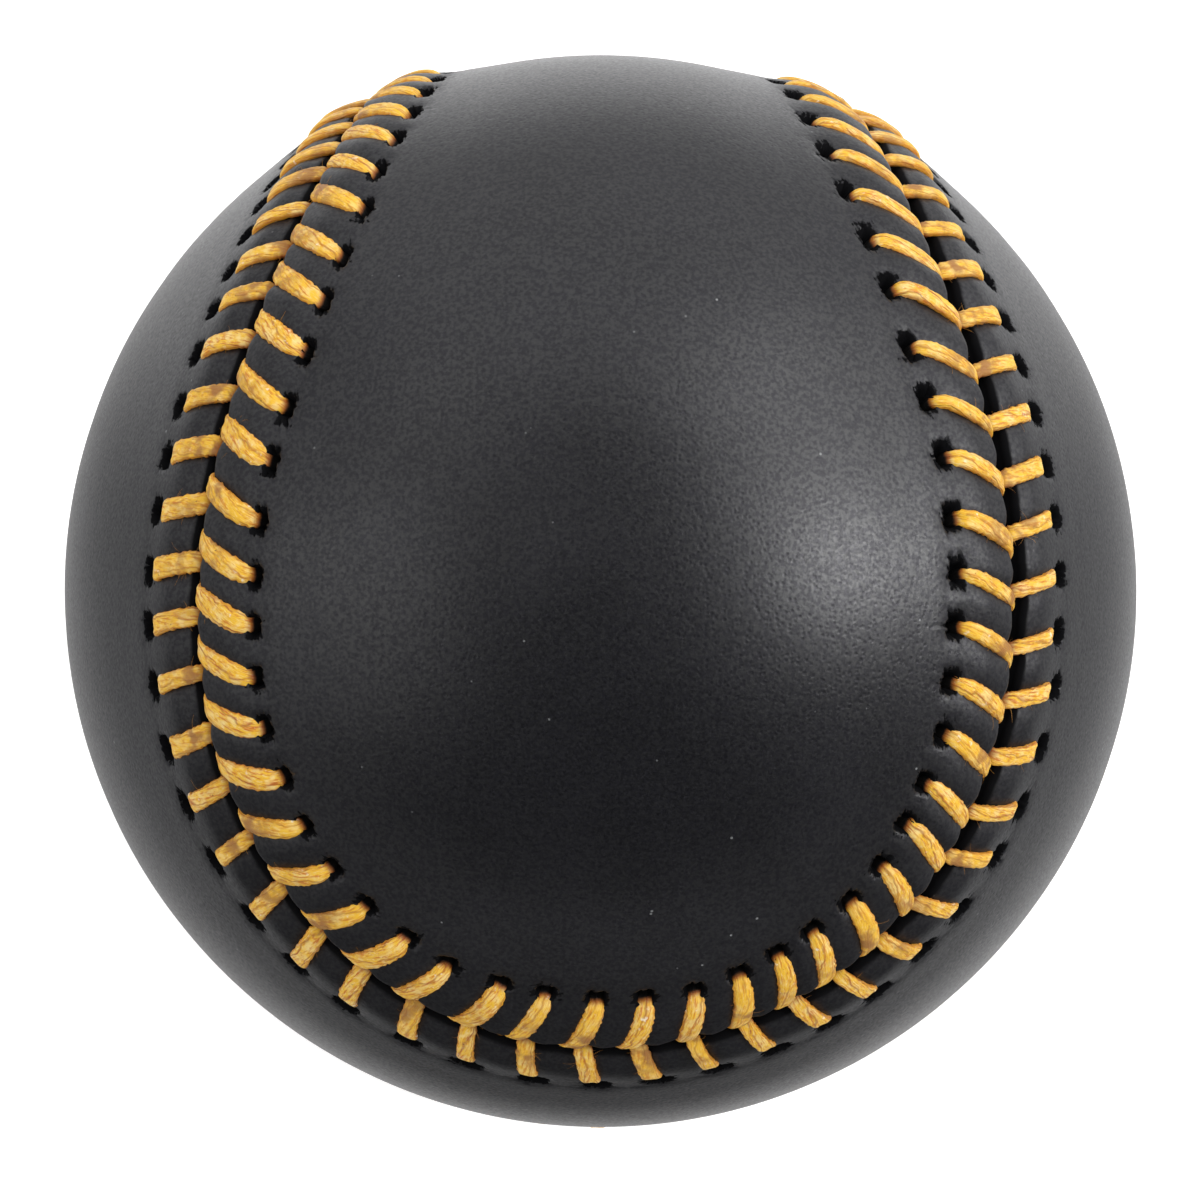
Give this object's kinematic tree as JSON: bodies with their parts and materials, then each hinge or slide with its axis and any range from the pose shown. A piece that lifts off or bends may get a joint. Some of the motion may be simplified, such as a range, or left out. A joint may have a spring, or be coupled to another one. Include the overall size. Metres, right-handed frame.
{
  "type": "baseball",
  "caption": "Leather-covered ball with a cork and rubber pill, wool windings and two figure-eight panels laced along a raised seam.",
  "frame": {"origin": "centre of the ball", "axes": "+Z through the middle of a lobe of cover panel A, +Y through that panel's waist, +X through a lobe of panel B"},
  "size_m": [0.073, 0.0732, 0.073],
  "materials": {
    "cork": "granulated cork and rubber mix",
    "black_rubber": "moulded, matt",
    "red_rubber": "moulded, matt",
    "grey_wool": "wound plied yarn",
    "white_wool": "wound plied yarn",
    "white_cotton": "fine finishing yarn with cement",
    "black_leather": "fine-grained, satin",
    "gold_thread": "waxed, flattened under tension"
  },
  "bodies": {
    "root": {"cork_core": "cork", "black_cup_upper": "black_rubber", "black_cup_lower": "black_rubber", "cup_gasket": "red_rubber", "red_shell_left": "red_rubber", "red_shell_right": "red_rubber", "first_winding": "grey_wool", "second_winding": "white_wool", "third_winding": "grey_wool", "finish_winding": "white_cotton", "cover_panel_a": "black_leather", "cover_panel_b": "black_leather", "lace_thread_a": "gold_thread", "lace_thread_b": "gold_thread"}
  },
  "joints": []
}
